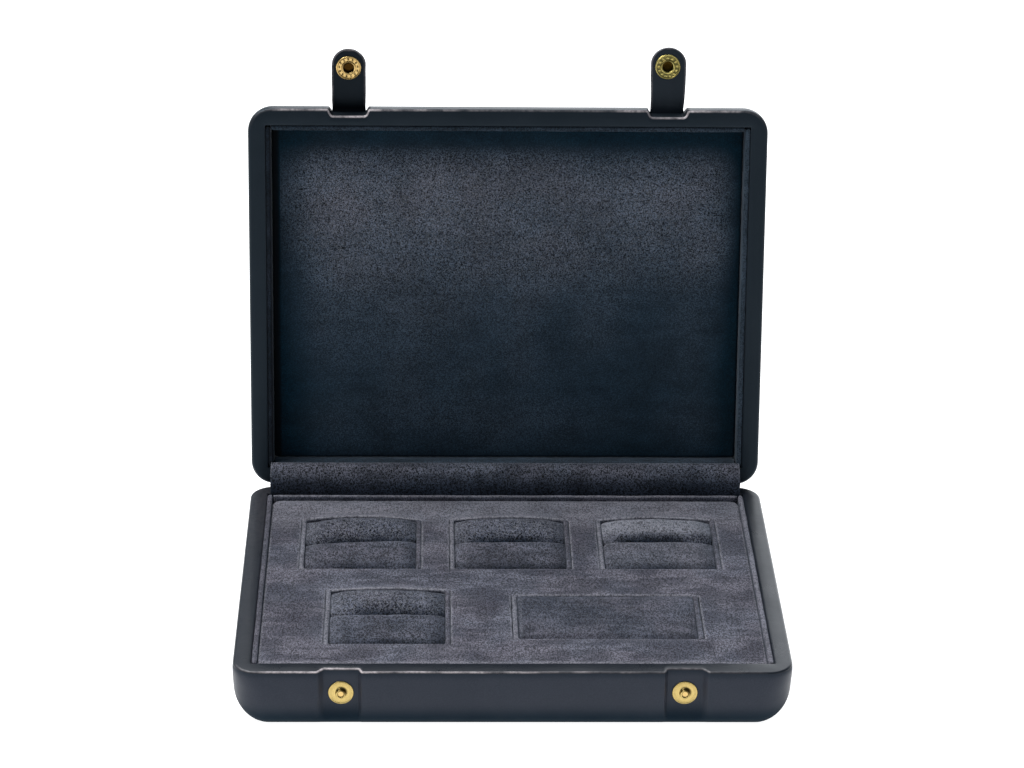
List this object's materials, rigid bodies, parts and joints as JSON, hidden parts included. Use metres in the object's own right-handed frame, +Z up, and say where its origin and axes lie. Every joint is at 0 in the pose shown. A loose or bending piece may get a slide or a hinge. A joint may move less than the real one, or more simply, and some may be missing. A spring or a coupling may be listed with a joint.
{
  "type": "jewelry case",
  "caption": "Flat hinged jewelry case: leather covered base and lid, suede insert with ring rolls and a blank pad, snap strap closures.",
  "frame": {"origin": "centre of the base's resting face", "axes": "+X to the right along the front, +Y to the hinge, +Z up; the lid stands open at its stop"},
  "size_m": [0.21, 0.1974, 0.205],
  "materials": {
    "leather": "smooth dark navy calf leather, semi matt",
    "suede": "brushed suede, slate grey with violet nap",
    "suede_roll": "brushed suede, slate grey",
    "suede_lid": "brushed suede, dark blue slate",
    "suede_gusset": "brushed suede, slate grey",
    "brass": "polished, light gold",
    "spring_wire": "wire",
    "core_board": "fibre board, hidden",
    "grey_board": "grey board, hidden",
    "foam": "firm foam block, hidden"
  },
  "bodies": {
    "base": {"base_core": "core_board", "base_leather": "leather", "bottom_cover": "leather", "base_liner_left": "suede", "base_liner_right": "suede", "base_liner_back": "suede", "base_liner_front": "suede", "insert_block": "foam", "insert_board": "grey_board", "insert_cover": "suede", "cell_frame_a": "suede", "cell_frame_b": "suede", "cell_frame_c": "suede", "cell_frame_d": "suede", "ring_roll_rear_a": "suede_roll", "ring_roll_rear_b": "suede_roll", "ring_roll_rear_c": "suede_roll", "ring_roll_rear_d": "suede_roll", "ring_roll_front_a": "suede_roll", "ring_roll_front_b": "suede_roll", "ring_roll_front_c": "suede_roll", "ring_roll_front_d": "suede_roll", "pad_frame": "suede", "blank_pad": "suede_roll", "snap_stud_left": "brass", "snap_stud_right": "brass", "stud_rivet_left": "brass", "stud_rivet_right": "brass", "hinge_spine": "leather", "hinge_gusset": "suede_gusset"},
    "lid": {"lid_core": "core_board", "lid_leather": "leather", "lid_liner_left": "suede_lid", "lid_liner_right": "suede_lid", "lid_liner_front": "suede_lid", "lid_liner_hinge": "suede_lid", "lid_panel_board": "grey_board", "lid_panel": "suede_lid", "strap_root_left": "leather", "strap_root_right": "leather"},
    "strap_left": {"strap_tab_left": "leather", "snap_socket_left": "brass", "snap_spring_left": "spring_wire", "snap_cap_left": "brass"},
    "strap_right": {"strap_tab_right": "leather", "snap_socket_right": "brass", "snap_spring_right": "spring_wire", "snap_cap_right": "brass"}
  },
  "joints": [
    {"name": "lid_hinge", "type": "hinge", "parent": "base", "child": "lid", "pos_m": [0, 0.07968, 0.02545], "axis": [1, 0, 0], "range_deg": [0, 98.72], "deforming": ["hinge_spine", "hinge_gusset"]},
    {"name": "strap_left_bend", "type": "hinge", "parent": "lid", "child": "strap_left", "pos_m": [-0.0644, 0.11208, 0.17899], "axis": [1, 0, 0], "range_deg": [-22, 78]},
    {"name": "strap_right_bend", "type": "hinge", "parent": "lid", "child": "strap_right", "pos_m": [0.0644, 0.11208, 0.17899], "axis": [1, 0, 0], "range_deg": [-10, 90]}
  ]
}
